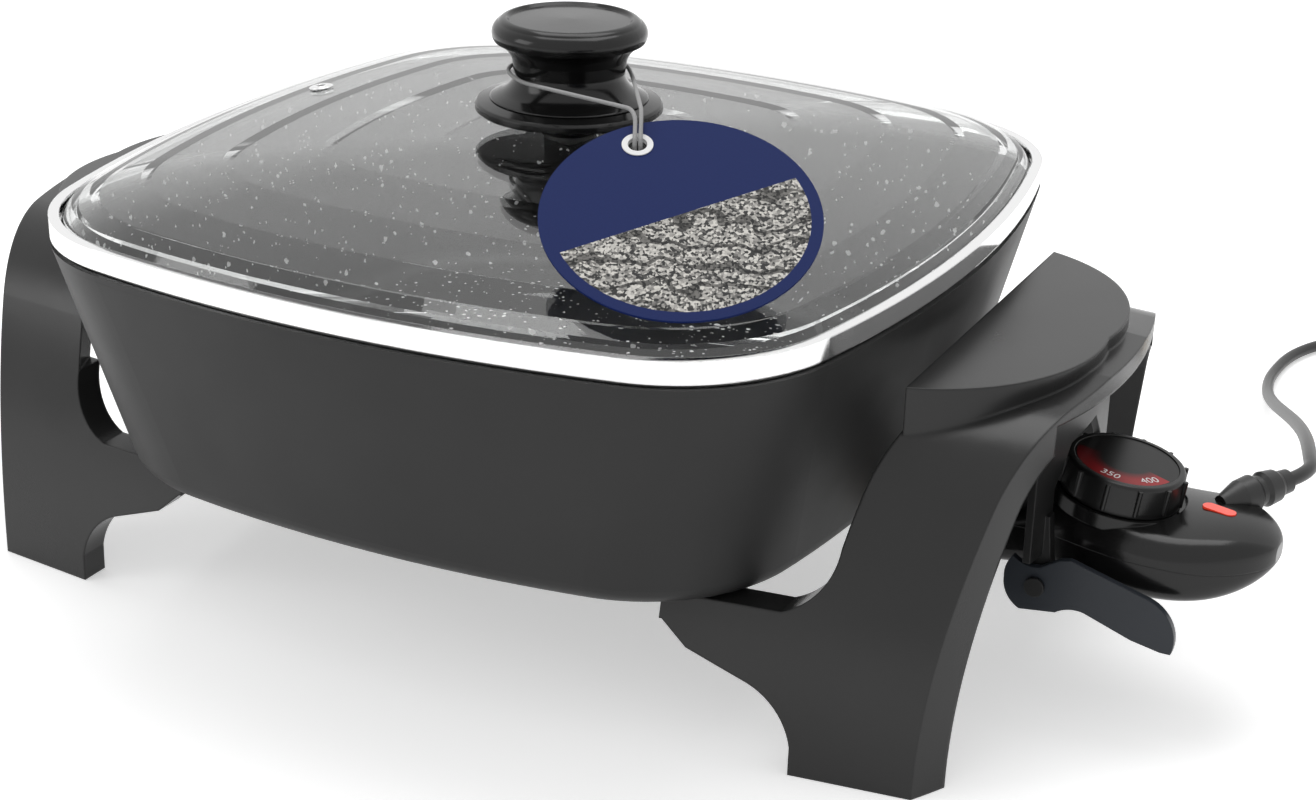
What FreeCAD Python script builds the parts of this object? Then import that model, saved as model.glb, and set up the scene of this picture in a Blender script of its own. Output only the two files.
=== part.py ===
import FreeCAD, Part
import math
import os
import Sketcher

# Electric skillet: a square cast pan with a rolled lip stands in two moulded
# handle-and-leg pieces, under a lift-off glass lid, with a plug-in heat control.
# Z is up and z = 0 is the table. X runs from handle to handle, with the heat
# control at +X, and Y runs from front to back. Sizes are in millimetres.

V = FreeCAD.Vector
doc = FreeCAD.newDocument("Skillet")
sheet = doc.addObject("Spreadsheet::Sheet", "Sizes")
made = []


class Size:
    """A number together with the spreadsheet expression that gives it."""

    def __init__(self, value, text):
        self.value = value
        self.text = text

    def __add__(self, other):
        return Size(self.value + number(other), f"({self.text} + {words(other)})")

    def __radd__(self, other):
        return Size(number(other) + self.value, f"({words(other)} + {self.text})")

    def __sub__(self, other):
        return Size(self.value - number(other), f"({self.text} - {words(other)})")

    def __rsub__(self, other):
        return Size(number(other) - self.value, f"({words(other)} - {self.text})")

    def __mul__(self, other):
        return Size(self.value * number(other), f"({self.text} * {words(other)})")

    def __rmul__(self, other):
        return Size(number(other) * self.value, f"({words(other)} * {self.text})")

    def __truediv__(self, other):
        return Size(self.value / number(other), f"({self.text} / {words(other)})")

    def __neg__(self):
        return Size(-self.value, f"(0 - {self.text})")

    def __float__(self):
        return float(self.value)


def number(value):
    return value.value if isinstance(value, Size) else float(value)


def words(value):
    return value.text if isinstance(value, Size) else repr(float(value))


def root(value):
    """Square root that keeps its expression."""
    return Size(math.sqrt(number(value)), f"sqrt({words(value)})")


def size(alias, value):
    """Write one driving dimension into the sheet and return it."""
    row = len(size.rows) + 1
    size.rows.append(alias)
    sheet.set(f"A{row}", alias)
    sheet.set(f"B{row}", repr(value))
    sheet.setAlias(f"B{row}", alias)
    return Size(float(value), f"Sizes.{alias}")


size.rows = []

# Where the pan's centre stands, so that the frame's origin is below the middle
# of the whole object.
centre_x = size("pan_centre_x", -27.75)

# Pan
rim_x = size("rim_half_length", 155.0)
rim_y = size("rim_half_width", 158.0)
rim_corner = size("rim_corner_radius", 62.0)
rim_bow = size("rim_side_radius", 480.0)
pan_floor = size("pan_underside_height", 54.4)
pan_depth = size("pan_outer_depth", 85.2)
pan_taper = size("pan_wall_draw_in", 21.5)
pan_wall = size("pan_wall", 3.2)
pan_base = size("pan_base_thickness", 5.0)
pan_edge = size("pan_base_edge_radius", 10.0)
lip_reach = size("pan_lip_reach", 3.4)
lip_height = size("pan_lip_height", 2.4)

# Heating element and its probe tube
element_wire = size("element_radius", 3.4)
element_half = size("element_half_length", 82.0)
element_corner = size("element_corner_radius", 48.0)
ridge_height = size("element_ridge_height", 8.0)
ridge_half = size("element_ridge_half_width", 6.5)
block_half = size("terminal_block_half_width", 17.5)
terminal_gap = size("terminal_half_spacing", 10.5)
terminal_radius = size("terminal_pin_radius", 2.2)
bush_radius = size("terminal_bush_radius", 4.6)
terminal_end = size("terminal_pin_end", 166.0)
probe_radius = size("probe_rod_radius", 3.0)
probe_tip = size("probe_rod_tip", 72.0)
probe_end = size("probe_rod_end", 178.0)
plug_in_drop = size("pins_below_pan", 5.6)
probe_room = size("probe_running_gap", 0.1)

# Handles and legs
plan_radius = size("handle_outer_plan_radius", 204.0)
handle_reach = size("handle_reach", 211.5)
foot_line = size("leg_plane_at_centre", 127.7)
leg_sweep = size("leg_plane_sweep", 0.122)
leg_thickness = size("leg_thickness", 11.5)
leg_bend = size("leg_face_radius", 215.0)
leg_straight = size("leg_face_top", 94.0)
shoulder = size("shoulder_radius", 44.0)
crown_edge = size("handle_top_at_outer_edge", 121.0)
crown_slope = size("handle_top_slope", 0.075)
plate = size("handle_plate_thickness", 7.0)
leg_inner = size("leg_inner_edge", 142.0)
leg_taper = size("leg_inner_edge_set_back", 8.0)
window_round = size("leg_window_corner_reach", 8.0)
window_rise = size("leg_window_corner_rise", 22.0)
window_bend = size("leg_window_corner_radius", 24.0)
arm_end = size("arm_inner_end", 95.5)
arm_drop = size("arm_depth", 11.0)
grip_inner = size("handle_inner_edge", 159.5)
grip_half = size("handle_inner_half_length", 72.0)
pad_long = size("raised_pad_half_length", 74.0)
pad_deep = size("raised_pad_reach", 43.5)
pad_rise = size("raised_pad_above_edge", 4.8)
pad_height = size("raised_pad_depth", 17.0)
pad_level_half = size("raised_pad_level_half_length", 55.0)
foot_stock = size("foot_trim_stock", 3.0)
lug_inner = size("screw_lug_inner_edge", 84.0)
screw_x = size("lug_screw_x", 105.0)
screw_y = size("lug_screw_y", 93.5)
screw_radius = size("screw_radius", 2.0)
screw_head = size("screw_head_radius", 3.6)
screw_head_height = size("screw_head_height", 2.4)

# Lid
lid_gap = size("lid_gap_above_pan", 2.0)
skirt_inset = size("lid_skirt_inset", 2.2)
skirt_wall = size("lid_skirt_wall", 3.0)
band_height = size("lid_band_height", 7.2)
band_wall = size("lid_band_wall", 3.0)
band_lip = size("lid_band_lip", 6.5)
band_lip_height = size("lid_band_lip_height", 2.6)
top_lip = size("lid_band_top_lip_height", 1.2)
top_lip_reach = size("lid_band_top_lip_reach", 0.8)
glass_thickness = size("glass_thickness", 4.0)
glass_rise = size("glass_apex_above_band", 24.5)
fit_gap = size("fit_gap", 0.3)

# Knob
flange_radius = size("knob_flange_radius", 33.5)
flange_lift = size("knob_flange_above_seat", 35.5)
cap_radius = size("knob_cap_radius", 28.0)
cap_lift = size("knob_cap_above_seat", 65.6)
neck_radius = size("knob_neck_radius", 19.8)
knob_screw_radius = size("knob_screw_radius", 2.5)

# Heat control
control_x = size("dial_centre_x", 211.8)
control_z = size("control_split_height", 60.0)
control_wall = size("control_wall", 2.2)
dial_tilt = size("dial_tilt", 8.0)
dial_radius = size("dial_radius", 20.9)
dial_height = size("dial_height", 11.0)
dial_base = size("dial_base_height", 73.1)
dial_face = size("dial_face_radius", 17.6)
shaft_radius = size("dial_shaft_radius", 3.0)
guard_radius = size("guard_plan_radius", 250.0)
guard_reach = size("guard_reach", 198.0)
guard_half = size("guard_half_width", 40.0)
guard_wall = size("guard_wall", 2.6)
guard_floor = size("guard_lower_edge", 58.0)
guard_window = size("guard_window_half_width", 25.5)
guard_window_top = size("guard_window_top", 92.0)
lever_y = size("lever_plane", 34.0)
lever_thickness = size("lever_thickness", 2.6)
pivot_x = size("lever_pivot_x", 195.5)
pivot_z = size("lever_pivot_height", 47.5)
pivot_radius = size("lever_pin_radius", 1.8)

lens_x = size("lens_centre_x", 245.4)
lens_y = size("lens_centre_y", 2.0)
lens_top = size("lens_top_height", 72.5)
lens_turn = size("lens_turn", -16.0)
lens_long = size("lens_length", 12.0)
lens_wide = size("lens_width", 4.6)
vent_x = size("vent_x", -118.0)
vent_y = size("vent_y", 18.5)
tag_radius = size("tag_radius", 43.8)
tag_x = size("tag_centre_x", 92.5)
tag_y = size("tag_centre_y", -98.9)
tag_lift = size("tag_centre_above_seat", 35.4)
tag_tilt = size("tag_tilt", 26.0)
tag_card = size("tag_thickness", 0.8)
tag_hole_up = size("tag_hole_up_slope", 31.6)
tag_hole_aside = size("tag_hole_aside", 14.0)
string_radius = size("string_radius", 0.7)
string_drop = size("string_below_knob_top", 19.7)

relief_x = size("relief_base_x", 243.8)
relief_y = size("relief_base_y", 10.2)
relief_z = size("relief_base_height", 70.5)
relief_length = size("relief_length", 29.0)
relief_way = (size("relief_way_x", 0.57), size("relief_way_y", 0.815), size("relief_way_z", 0.1))

# Mains lead
lead_radius = size("lead_radius", 2.5)
coil_x = size("coil_centre_x", 300.0)
coil_y = size("coil_centre_y", 345.0)
coil_turns = size("coil_turns", 2.5)
coil_outer = size("coil_outer_turn_radius", 30.5)
coil_pitch = size("coil_turn_pitch", 6.4)
coil_low = size("coil_lower_layer_height", 3.7)

doc.recompute()


def body(label):
    """A new body whose centre line is the pan's."""
    new = doc.addObject("PartDesign::Body", label)
    new.Label = label
    new.setExpression("Placement.Base.x", centre_x.text)
    made.append(new)
    return new


def helper_body(label):
    """A body that only shapes others and isn't written out."""
    new = doc.addObject("PartDesign::Body", label)
    new.Label = label
    new.setExpression("Placement.Base.x", centre_x.text)
    return new


def sketch(owner, role, height=0.0):
    """An empty sketch on one of the body's own planes, moved along its normal."""
    new = owner.newObject("Sketcher::SketchObject", f"{owner.Name}Sketch")
    plane = [f for f in owner.Origin.OriginFeatures if f.Role == role][0]
    new.AttachmentSupport = [(plane, "")]
    new.MapMode = "FlatFace"
    new.setExpression("AttachmentOffset.Base.z", words(height))
    return new


def pin(drawn, geometry, point, x, y):
    """Fix one point of a sketch at the coordinates that the sheet gives."""
    for kind, value in (("DistanceX", x), ("DistanceY", y)):
        if number(value) == 0.0 and not isinstance(value, Size):
            axis = -2 if kind == "DistanceX" else -1
            drawn.addConstraint(Sketcher.Constraint("PointOnObject", geometry, point, axis))
            continue
        index = drawn.addConstraint(
            Sketcher.Constraint(kind, -1, 1, geometry, point, number(value))
        )
        if isinstance(value, Size):
            drawn.setExpression(f"Constraints[{index}]", value.text)


def outline(drawn, points):
    """A closed outline: (x, y) or (x, y, radius) with an arc on to the next point.

    A positive radius turns left along the outline, and a negative one right.
    """
    first = drawn.GeometryCount
    count = len(points)
    for i, here in enumerate(points):
        there = points[(i + 1) % count]
        a = V(number(here[0]), number(here[1]), 0)
        b = V(number(there[0]), number(there[1]), 0)
        if len(here) == 2:
            drawn.addGeometry(Part.LineSegment(a, b), False)
            continue
        radius = number(here[2])
        middle = (a + b) * 0.5
        chord = (b - a).Length
        side = V(-(b - a).y, (b - a).x, 0).normalize()
        rise = math.sqrt(max(radius * radius - chord * chord / 4, 0.0))
        centre = middle + side * (rise if radius > 0 else -rise)
        bulge = (middle - centre).normalize()
        through = centre + bulge * abs(radius)
        # a sketch's arcs all run anticlockwise, so a right turn is drawn backwards
        drawn.addGeometry(Part.Arc(a, through, b) if radius > 0 else Part.Arc(b, through, a), False)
    ends = [(2, 1) if len(p) == 3 and number(p[2]) < 0 else (1, 2) for p in points]
    for i in range(count):
        j = (i + 1) % count
        drawn.addConstraint(
            Sketcher.Constraint("Coincident", first + i, ends[i][1], first + j, ends[j][0])
        )
    for i, here in enumerate(points):
        pin(drawn, first + i, ends[i][0], here[0], here[1])
        if len(here) == 3:
            index = drawn.addConstraint(
                Sketcher.Constraint("Radius", first + i, abs(number(here[2])))
            )
            radius = here[2] if number(here[2]) > 0 else -1 * here[2]
            if isinstance(radius, Size):
                drawn.setExpression(f"Constraints[{index}]", radius.text)
    return drawn


def circle(drawn, x, y, radius):
    """A full circle whose centre and radius follow the sheet."""
    index = drawn.addGeometry(
        Part.Circle(V(number(x), number(y), 0), V(0, 0, 1), number(radius)), False
    )
    pin(drawn, index, 3, x, y)
    rule = drawn.addConstraint(Sketcher.Constraint("Radius", index, number(radius)))
    if isinstance(radius, Size):
        drawn.setExpression(f"Constraints[{rule}]", radius.text)
    return drawn


def rounded_square(drawn, half_x, half_y, corner, bow):
    """The pan's outline: four slightly bowed sides and four round corners."""
    a, b = number(half_x), number(half_y)
    big, small = number(bow), number(corner)
    reach = big - small
    # the corner's centre is where circles about two side centres cross
    right = V(a - big, 0, 0)
    back = V(0, b - big, 0)
    link = back - right
    half = link.Length / 2
    across = V(link.y, -link.x, 0).normalize()
    lift = math.sqrt(reach * reach - half * half)
    centre = (right + back) * 0.5 + across * lift
    if centre.x < 0:
        centre = (right + back) * 0.5 - across * lift
    low = (centre - right).normalize() * big + right
    high = (centre - back).normalize() * big + back
    side_angle = math.atan2(low.y - right.y, low.x - right.x)
    back_angle = math.atan2(high.y - back.y, high.x - back.x)
    first = drawn.GeometryCount
    normal = V(0, 0, 1)
    turn = math.pi

    def arc(middle, radius, start, end):
        drawn.addGeometry(
            Part.ArcOfCircle(Part.Circle(middle, normal, radius), start, end), False
        )

    arc(right, big, -side_angle, side_angle)
    arc(V(centre.x, centre.y, 0), small, side_angle, back_angle)
    arc(back, big, back_angle, turn - back_angle)
    arc(V(-centre.x, centre.y, 0), small, turn - back_angle, turn - side_angle)
    arc(-1 * right, big, turn - side_angle, turn + side_angle)
    arc(V(-centre.x, -centre.y, 0), small, turn + side_angle, turn + back_angle)
    arc(-1 * back, big, turn + back_angle, 2 * turn - back_angle)
    arc(V(centre.x, -centre.y, 0), small, 2 * turn - back_angle, 2 * turn - side_angle)
    for i in range(8):
        drawn.addConstraint(
            Sketcher.Constraint("Tangent", first + i, 2, first + (i + 1) % 8, 1)
        )
    centres = ((0, half_x - bow, 0.0), (2, 0.0, half_y - bow))
    mirrored = ((4, bow - half_x, 0.0), (6, 0.0, bow - half_y))
    for i, x, y in centres + mirrored:
        pin(drawn, first + i, 3, x, y)
    for i in range(8):
        value = bow if i % 2 == 0 else corner
        rule = drawn.addConstraint(Sketcher.Constraint("Radius", first + i, number(value)))
        if isinstance(value, Size):
            drawn.setExpression(f"Constraints[{rule}]", value.text)
    return drawn


def feature(owner, kind, profile, **settings):
    """Add one feature on a sketch, with sizes that follow the sheet."""
    new = owner.newObject(f"PartDesign::{kind}", f"{owner.Name}{kind}")
    if profile is not None:
        new.Profile = profile
    for name, value in settings.items():
        if isinstance(value, Size):
            setattr(new, name, value.value)
            new.setExpression(name, value.text)
        else:
            setattr(new, name, value)
    owner.Tip = new
    return new


def loft(owner, sections, ruled=False, cut=False):
    kind = "SubtractiveLoft" if cut else "AdditiveLoft"
    new = owner.newObject(f"PartDesign::{kind}", f"{owner.Name}{kind}")
    new.Profile = sections[0]
    new.Sections = sections[1:]
    new.Ruled = ruled
    owner.Tip = new
    return new


def spin(owner, profile, cut=False):
    """Turn a profile in the XZ plane about the body's own Z axis."""
    kind = "Groove" if cut else "Revolution"
    new = owner.newObject(f"PartDesign::{kind}", f"{owner.Name}{kind}")
    new.Profile = profile
    new.ReferenceAxis = (profile, ["V_Axis"])
    new.Angle = 360.0
    owner.Tip = new
    return new


def round_edges(owner, choose, radius, kind="Fillet"):
    """Round or bevel the edges of the body's last feature that choose accepts."""
    doc.recompute()
    base = owner.Tip
    found = [f"Edge{i + 1}" for i, e in enumerate(base.Shape.Edges) if choose(e)]
    if not found:
        raise RuntimeError(f"no edge to round on {owner.Label}")
    new = owner.newObject(f"PartDesign::{kind}", f"{owner.Name}{kind}")
    new.Base = (base, found)
    name = "Radius" if kind == "Fillet" else "Size"
    setattr(new, name, number(radius))
    if isinstance(radius, Size):
        new.setExpression(name, radius.text)
    owner.Tip = new
    doc.recompute()
    return new


def level(edge, height):
    """Whether an edge lies in the flat plane at a height."""
    return all(abs(v.Z - height) < 0.01 for v in edge.Vertexes)


def solid(label, shape, keep=True):
    """A sub-part whose form neither sketches nor primitives can give."""
    new = doc.addObject("Part::Feature", label)
    new.Label = label
    stand = FreeCAD.Placement(V(number(centre_x), 0, 0), FreeCAD.Rotation())
    own = shape.Placement
    new.Shape = shape
    new.Placement = stand.multiply(own)
    if keep:
        made.append(new)
    return new


def boolean(label, kind, base, tool, keep=True):
    new = doc.addObject(f"Part::{kind}", label)
    new.Label = label
    new.Base = base
    new.Tool = tool
    if keep:
        made.append(new)
    return new


def place(thing, x, y, z, axis=V(0, 0, 1), angle=0.0):
    """Stand a primitive at a place in the pan's frame."""
    thing.Placement = FreeCAD.Placement(V(0, 0, 0), FreeCAD.Rotation(axis, angle))
    thing.setExpression("Placement.Base.x", words(centre_x + x))
    thing.setExpression("Placement.Base.y", words(y))
    thing.setExpression("Placement.Base.z", words(z))
    return thing


def primitive(label, kind, keep=True, **sizes):
    new = doc.addObject(f"Part::{kind}", label)
    new.Label = label
    for name, value in sizes.items():
        setattr(new, name, number(value))
        if isinstance(value, Size):
            new.setExpression(name, value.text)
    if keep:
        made.append(new)
    return new


def fuse(label, parts, keep=True):
    new = doc.addObject("Part::MultiFuse", label)
    new.Label = label
    new.Shapes = parts
    if keep:
        made.append(new)
    return new


pan_top = pan_floor + pan_depth
lid_seat = pan_top + lid_gap
glass_low = lid_seat + 2.9
glass_top = glass_low + 21.9 * (glass_rise / 24.5)
flange_top = lid_seat + flange_lift
cap_top = lid_seat + cap_lift
string_z = cap_top - string_drop
tag_z = lid_seat + tag_lift
base_x = rim_x - pan_taper
base_y = rim_y - pan_taper


def wall_x(z):
    """Half the pan's outer length at a height."""
    return base_x + (z - pan_floor) * (pan_taper / pan_depth)


def wall_y(z):
    return base_y + (z - pan_floor) * (pan_taper / pan_depth)


def make_pan():
    pan = helper_body("pan_casting")
    low = rounded_square(sketch(pan, "XY_Plane", pan_floor), base_x, base_y, rim_corner, rim_bow)
    high = rounded_square(sketch(pan, "XY_Plane", pan_top), rim_x, rim_y, rim_corner, rim_bow)
    loft(pan, [low, high], ruled=True)
    inside = pan_floor + pan_base
    shrink = pan_wall
    low = rounded_square(
        sketch(pan, "XY_Plane", inside),
        wall_x(inside) - shrink, wall_y(inside) - shrink, rim_corner - shrink, rim_bow,
    )
    above = pan_top + 4.0
    high = rounded_square(
        sketch(pan, "XY_Plane", above),
        wall_x(above) - shrink, wall_y(above) - shrink, rim_corner - shrink, rim_bow,
    )
    loft(pan, [low, high], ruled=True, cut=True)
    deep = number(inside)
    round_edges(pan, lambda e: level(e, deep), pan_edge)
    floor = number(pan_floor)
    round_edges(pan, lambda e: level(e, floor), pan_edge)
    # inward ledge that carries the lid
    ledge = sketch(pan, "XY_Plane", pan_top - lip_height)
    rounded_square(ledge, rim_x - 0.6, rim_y - 0.6, rim_corner, rim_bow)
    inner = lip_reach + pan_wall
    rounded_square(ledge, rim_x - inner, rim_y - inner, rim_corner - inner, rim_bow)
    feature(pan, "Pad", ledge, Length=lip_height)
    # cast ridge that carries the heating element, with its open groove
    ridge = sketch(pan, "XY_Plane", pan_floor)
    band = ridge_half
    ring = element_half + band
    rounded_square(ridge, ring, ring, element_corner + band, 4 * rim_bow)
    ring = element_half - band
    rounded_square(ridge, ring, ring, element_corner - band, 4 * rim_bow)
    feature(pan, "Pad", ridge, Length=ridge_height, Reversed=True)
    # tube for the control's probe, cast under the base
    probe_z = pan_floor - plug_in_drop
    mouth = base_x - 6.0
    tube = sketch(pan, "YZ_Plane", probe_tip - 6.0)
    circle(tube, 0.0, probe_z, ridge_half)
    feature(pan, "Pad", tube, Length=mouth - probe_tip + 6.0)
    # cast block that carries the element's two cold ends
    block = sketch(pan, "XY_Plane", pan_floor - ridge_height)
    outline(block, [
        (element_half, -1 * block_half), (base_x - 2.5, -1 * block_half),
        (base_x - 2.5, block_half), (element_half, block_half),
    ])
    feature(pan, "Pad", block, Length=ridge_height + 3.5)
    bore = sketch(pan, "YZ_Plane", probe_tip - 1.5)
    circle(bore, 0.0, probe_z, probe_radius + probe_room)
    feature(pan, "Pocket", bore, Length=base_x - probe_tip + 20.0, Reversed=True)
    # blind holes for the four handle screws
    holes = sketch(pan, "XY_Plane", pan_floor)
    for sx in (-1, 1):
        for sy in (-1, 1):
            circle(holes, sx * screw_x, sy * screw_y, screw_radius + 0.05)
    feature(pan, "Pocket", holes, Length=3.2, Reversed=True)
    return pan


def lead_path(points, label):
    """Straight runs joined by tangent arcs, each as large as its two runs allow."""
    edges = []
    here = points[0]
    radii = []
    for before, corner, after in zip(points, points[1:], points[2:]):
        into = (corner - before)
        out = (after - corner)
        shorter = min(into.Length, out.Length)
        into.normalize()
        out.normalize()
        turn = math.acos(max(-1.0, min(1.0, into.dot(out))))
        reach = 0.45 * shorter
        radius = reach / math.tan(turn / 2)
        start = corner - into * reach
        end = corner + out * reach
        centre_way = (out - into).normalize()
        centre = corner + centre_way * math.sqrt(radius * radius + reach * reach)
        through = centre + (corner - centre).normalize() * radius
        edges.append(Part.LineSegment(here, start).toShape())
        edges.append(Part.Arc(start, through, end).toShape())
        radii.append(round(radius, 1))
        here = end
    edges.append(Part.LineSegment(here, points[-1]).toShape())
    print(label, "radii", radii, "length", round(sum(e.Length for e in edges), 1))
    return Part.Wire(edges)


def tube_along(wire, radius, start, direction):
    ring = Part.Wire([Part.Circle(start, direction, radius).toShape()])
    shell = wire.makePipeShell([ring], True, False)
    length = wire.Length
    ideal = math.pi * radius * radius * length
    print("tube volume over section times length", round(shell.Volume / ideal, 5))
    return shell


def biarc(p0, t0, p1, t1):
    """Two arcs that leave p0 along t0 and reach p1 along t1."""
    v = p1 - p0
    t = t0 + t1
    a = 2 * (1 - t0.dot(t1))
    b = 2 * v.dot(t)
    c = -v.dot(v)
    if abs(a) < 1e-9:
        reach = -c / b
    else:
        reach = (-b + math.sqrt(b * b - 4 * a * c)) / (2 * a)
    joint = (p0 + t0 * reach + p1 - t1 * reach) * 0.5
    edges = []
    for start, end, way in ((p0, joint, t0), (p1, joint, -1 * t1)):
        chord = end - start
        side = chord - way * chord.dot(way)
        if side.Length < 1e-6:
            edges.append(Part.LineSegment(start, end).toShape())
            continue
        side.normalize()
        radius = chord.dot(chord) / (2 * chord.dot(side))
        centre = start + side * radius
        half = (start + end) * 0.5 - centre
        half.normalize()
        through = centre + half * radius
        if way is t0:
            edges.append(Part.Arc(start, through, end).toShape())
        else:
            edges.append(Part.Arc(end, through, start).toShape())
    return edges


def make_element():
    """Sheathed element: one loop in the cast ridge, open towards the control."""
    half = number(element_half)
    corner = number(element_corner)
    z = number(pan_floor) - number(plug_in_drop)
    gap = number(terminal_gap)
    bend = 9.0
    end = number(base_x) - 12.0
    points = [
        V(end, gap, z), V(half, gap, z), V(half, half, z), V(-half, half, z),
        V(-half, -half, z), V(half, -half, z), V(half, -gap, z), V(end, -gap, z),
    ]
    radii = [bend, corner, corner, corner, corner, bend]
    edges = []
    here = points[0]
    for before, at, after, radius in zip(points, points[1:], points[2:], radii):
        into = (at - before).normalize()
        out = (after - at).normalize()
        start = at - into * radius
        finish = at + out * radius
        centre = start + out * radius
        through = centre + (at - centre).normalize() * radius
        edges.append(Part.LineSegment(here, start).toShape())
        edges.append(Part.Arc(start, through, finish).toShape())
        here = finish
    edges.append(Part.LineSegment(here, points[-1]).toShape())
    wire = Part.Wire(edges)
    return wire, z


def make_heater():
    wire, z = make_element()
    radius = number(element_wire)
    start = V(number(base_x) - 12.0, number(terminal_gap), z)
    shape = tube_along(wire, radius, start, V(-1, 0, 0))
    solid("heating_element", shape)
    room = tube_along(wire, radius + number(fit_gap), start, V(-1, 0, 0))
    rooms = [solid("element_groove", room, False)]
    for side in (-1, 1):
        for length, radius, from_x in ((14.0, bush_radius + 0.05, 3.8), (6.0, 3.0, -0.6)):
            seat = primitive(
                f"bush_seat_{len(rooms)}", "Cylinder", False, Radius=radius, Height=length
            )
            place(seat, base_x - 12.0 + from_x, side * terminal_gap, pan_floor - plug_in_drop,
                  V(0, 1, 0), 90.0)
            rooms.append(seat)
    return fuse("pan_rooms", rooms, False)


def make_terminals():
    """Cold pins and their ceramic bushes, one pair."""
    element_end = base_x - 12.0
    z = pan_floor - plug_in_drop
    pins = []
    bushes = []
    for side in (-1, 1):
        name = "front" if side < 0 else "back"
        stem = primitive(
            f"terminal_{name}", "Cylinder", False,
            Radius=terminal_radius, Height=terminal_end - element_end,
        )
        pins.append(place(stem, element_end, side * terminal_gap, z, V(0, 1, 0), 90.0))
        outer = primitive(f"bush_{name}", "Cylinder", False, Radius=bush_radius, Height=14.0)
        inner = primitive(
            f"bush_bore_{name}", "Cylinder", False,
            Radius=terminal_radius + 0.05, Height=20.0,
        )
        place(outer, element_end + 4.0, side * terminal_gap, z, V(0, 1, 0), 90.0)
        place(inner, element_end + 1.0, side * terminal_gap, z, V(0, 1, 0), 90.0)
        bushes.append(boolean(f"bush_ring_{name}", "Cut", outer, inner, False))
    fuse("terminal_pins", pins)
    fuse("terminal_insulators", bushes)


shoulder_end = math.radians(84.0)


def side_profile(owner, x, mirror):
    """The leg-and-handle strip seen along X, at a distance from the pan's centre."""
    drawn = sketch(owner, "YZ_Plane", mirror * x)
    foot = foot_line - leg_sweep * x
    top = crown_edge + (handle_reach - x) * crown_slope
    # sine and cosine of the outer contour's slope where the shoulder starts and ends
    sin_low = leg_straight / leg_bend
    cos_low = root(1 - sin_low * sin_low)
    sin_high = math.sin(shoulder_end)
    cos_high = math.cos(shoulder_end)
    neck_y = foot - leg_bend * (1 - cos_low)
    shoulder_z = leg_straight + shoulder * (sin_high - sin_low)
    shoulder_y = neck_y - shoulder * (cos_low - cos_high)
    t = leg_thickness
    # inner contour, concentric with the outer one
    in_y = neck_y - t * cos_low
    in_z = leg_straight - t * sin_low
    small = shoulder - t
    in_top_y = in_y - small * (cos_low - cos_high)
    in_top_z = in_z + small * (sin_high - sin_low)
    crown = top - shoulder_z
    # the legs run on below the floor, so that a flat cut makes their soles
    low = foot_stock
    lean = leg_bend - root(leg_bend * leg_bend - low * low)
    inner_bend = leg_bend - t
    inner_lean = inner_bend - root(inner_bend * inner_bend - low * low)
    outline(drawn, [
        (lean - foot, -1 * low, -1 * leg_bend),
        (-1 * neck_y, leg_straight, -1 * shoulder),
        (-1 * shoulder_y, shoulder_z),
        (-0.45 * shoulder_y, shoulder_z + 0.8 * crown),
        (0.45 * shoulder_y, shoulder_z + 0.8 * crown),
        (shoulder_y, shoulder_z, -1 * shoulder),
        (neck_y, leg_straight, -1 * leg_bend),
        (foot - lean, -1 * low),
        (foot - t - inner_lean, -1 * low, inner_bend),
        (in_y, in_z, small),
        (in_top_y, in_top_z),
        (in_top_y - 4.0, top - plate),
        (4.0 - in_top_y, top - plate),
        (-1 * in_top_y, in_top_z, small),
        (-1 * in_y, in_z, inner_bend),
        (t + inner_lean - foot, -1 * low),
    ])
    return drawn


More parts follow.
